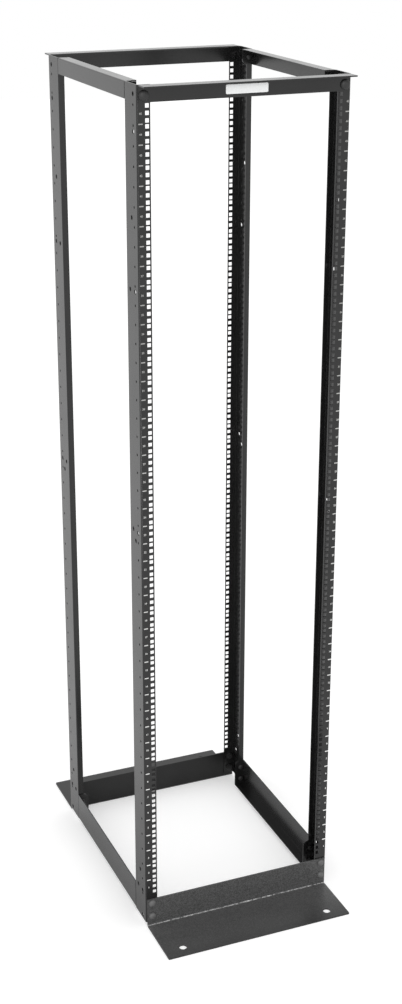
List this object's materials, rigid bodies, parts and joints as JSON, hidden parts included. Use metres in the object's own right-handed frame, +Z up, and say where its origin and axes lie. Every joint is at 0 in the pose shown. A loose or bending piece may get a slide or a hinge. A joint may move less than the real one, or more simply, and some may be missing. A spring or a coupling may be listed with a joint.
{
  "type": "four-post open frame rack",
  "caption": "Tall open equipment rack: channel posts with square rail holes, joined by angles and side rails, on bolt-down feet.",
  "frame": {"origin": "centre of the footprint, on the floor", "axes": "+X to the right seen from the front, +Y from the front to the back, +Z up"},
  "size_m": [0.5144, 0.9144, 2.1336],
  "materials": {
    "post_coat": "matt black powder coat, finely textured",
    "angle_coat": "matt black powder coat, finely textured",
    "base_coat": "matt black powder coat, finely textured",
    "rail_coat": "matt black powder coat, finely textured"
  },
  "bodies": {
    "root": {"front_left_post": "post_coat", "front_right_post": "post_coat", "rear_left_post": "post_coat", "rear_right_post": "post_coat", "front_top_angle": "angle_coat", "rear_top_angle": "angle_coat", "front_base_angle": "base_coat", "rear_base_angle": "base_coat", "left_top_side_rail": "rail_coat", "right_top_side_rail": "rail_coat", "left_base_side_rail": "rail_coat", "right_base_side_rail": "rail_coat"}
  },
  "joints": []
}
